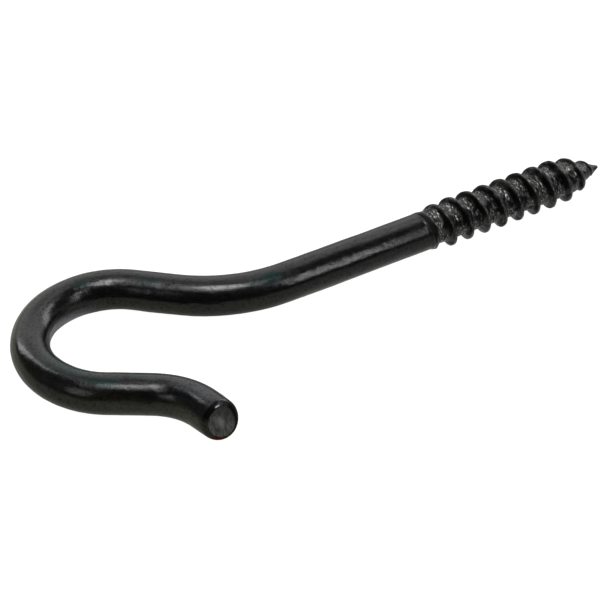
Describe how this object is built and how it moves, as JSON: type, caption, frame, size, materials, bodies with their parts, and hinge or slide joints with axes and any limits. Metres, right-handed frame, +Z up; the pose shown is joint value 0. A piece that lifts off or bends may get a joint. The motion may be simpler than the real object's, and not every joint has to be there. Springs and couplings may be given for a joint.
{
  "type": "ceiling hook",
  "caption": "One-piece bent wire ceiling hook: wood-screw thread with gimlet point, plain shank, swan neck, round bowl and short flared tip with a sheared end.",
  "frame": {"origin": "bottom centre of the bounding box of the hook as it lies on its side, on one thread crest and the rim of the bowl", "axes": "+X along the screw axis towards the point (0.55 degrees above it, because the thread stands proud of the wire), +Y to the side the neck bends to, away from the mouth, +Z up, nearly square to the plane of the hook"},
  "size_m": [0.083, 0.0328, 0.0062],
  "materials": {
    "black_coated_steel": "semi-gloss black coating over steel, rough in the thread"
  },
  "bodies": {
    "root": {"screw_hook": "black_coated_steel"}
  },
  "joints": []
}
